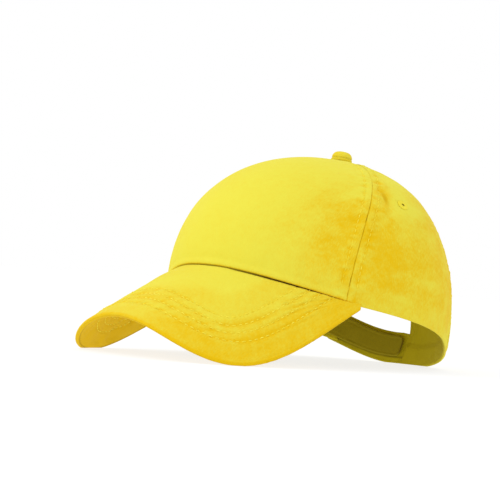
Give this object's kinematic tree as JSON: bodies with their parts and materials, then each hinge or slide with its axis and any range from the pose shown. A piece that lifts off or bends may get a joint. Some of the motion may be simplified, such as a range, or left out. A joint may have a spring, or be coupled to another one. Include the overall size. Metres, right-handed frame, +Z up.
{
  "type": "baseball cap",
  "caption": "Soft panelled cap with a curved peak, a covered top button and a hook-and-loop strap across the rear opening.",
  "frame": {"origin": "on the surface the cap rests on, under the middle of its bounding box", "axes": "+Z up, the peak points along -Y, the wearer's left is +X"},
  "size_m": [0.1718, 0.2532, 0.1313],
  "materials": {
    "crown_twill": "matt brushed cotton twill, bright yellow",
    "peak_twill": "matt cotton twill over a stiff board, bright yellow with rows of topstitching",
    "strap_twill": "matt cotton twill tab, yellow",
    "hook_tape": "matt looped tape on a yellow twill tab",
    "thread": "tight yellow embroidery thread"
  },
  "bodies": {
    "root": {"front_panel": "crown_twill", "side_panel_left": "crown_twill", "side_panel_right": "crown_twill", "back_panel_left": "crown_twill", "back_panel_right": "crown_twill", "peak": "peak_twill", "button": "crown_twill", "strap_outer": "strap_twill", "strap_inner": "hook_tape", "eyelet_left": "thread", "eyelet_right": "thread"}
  },
  "joints": []
}
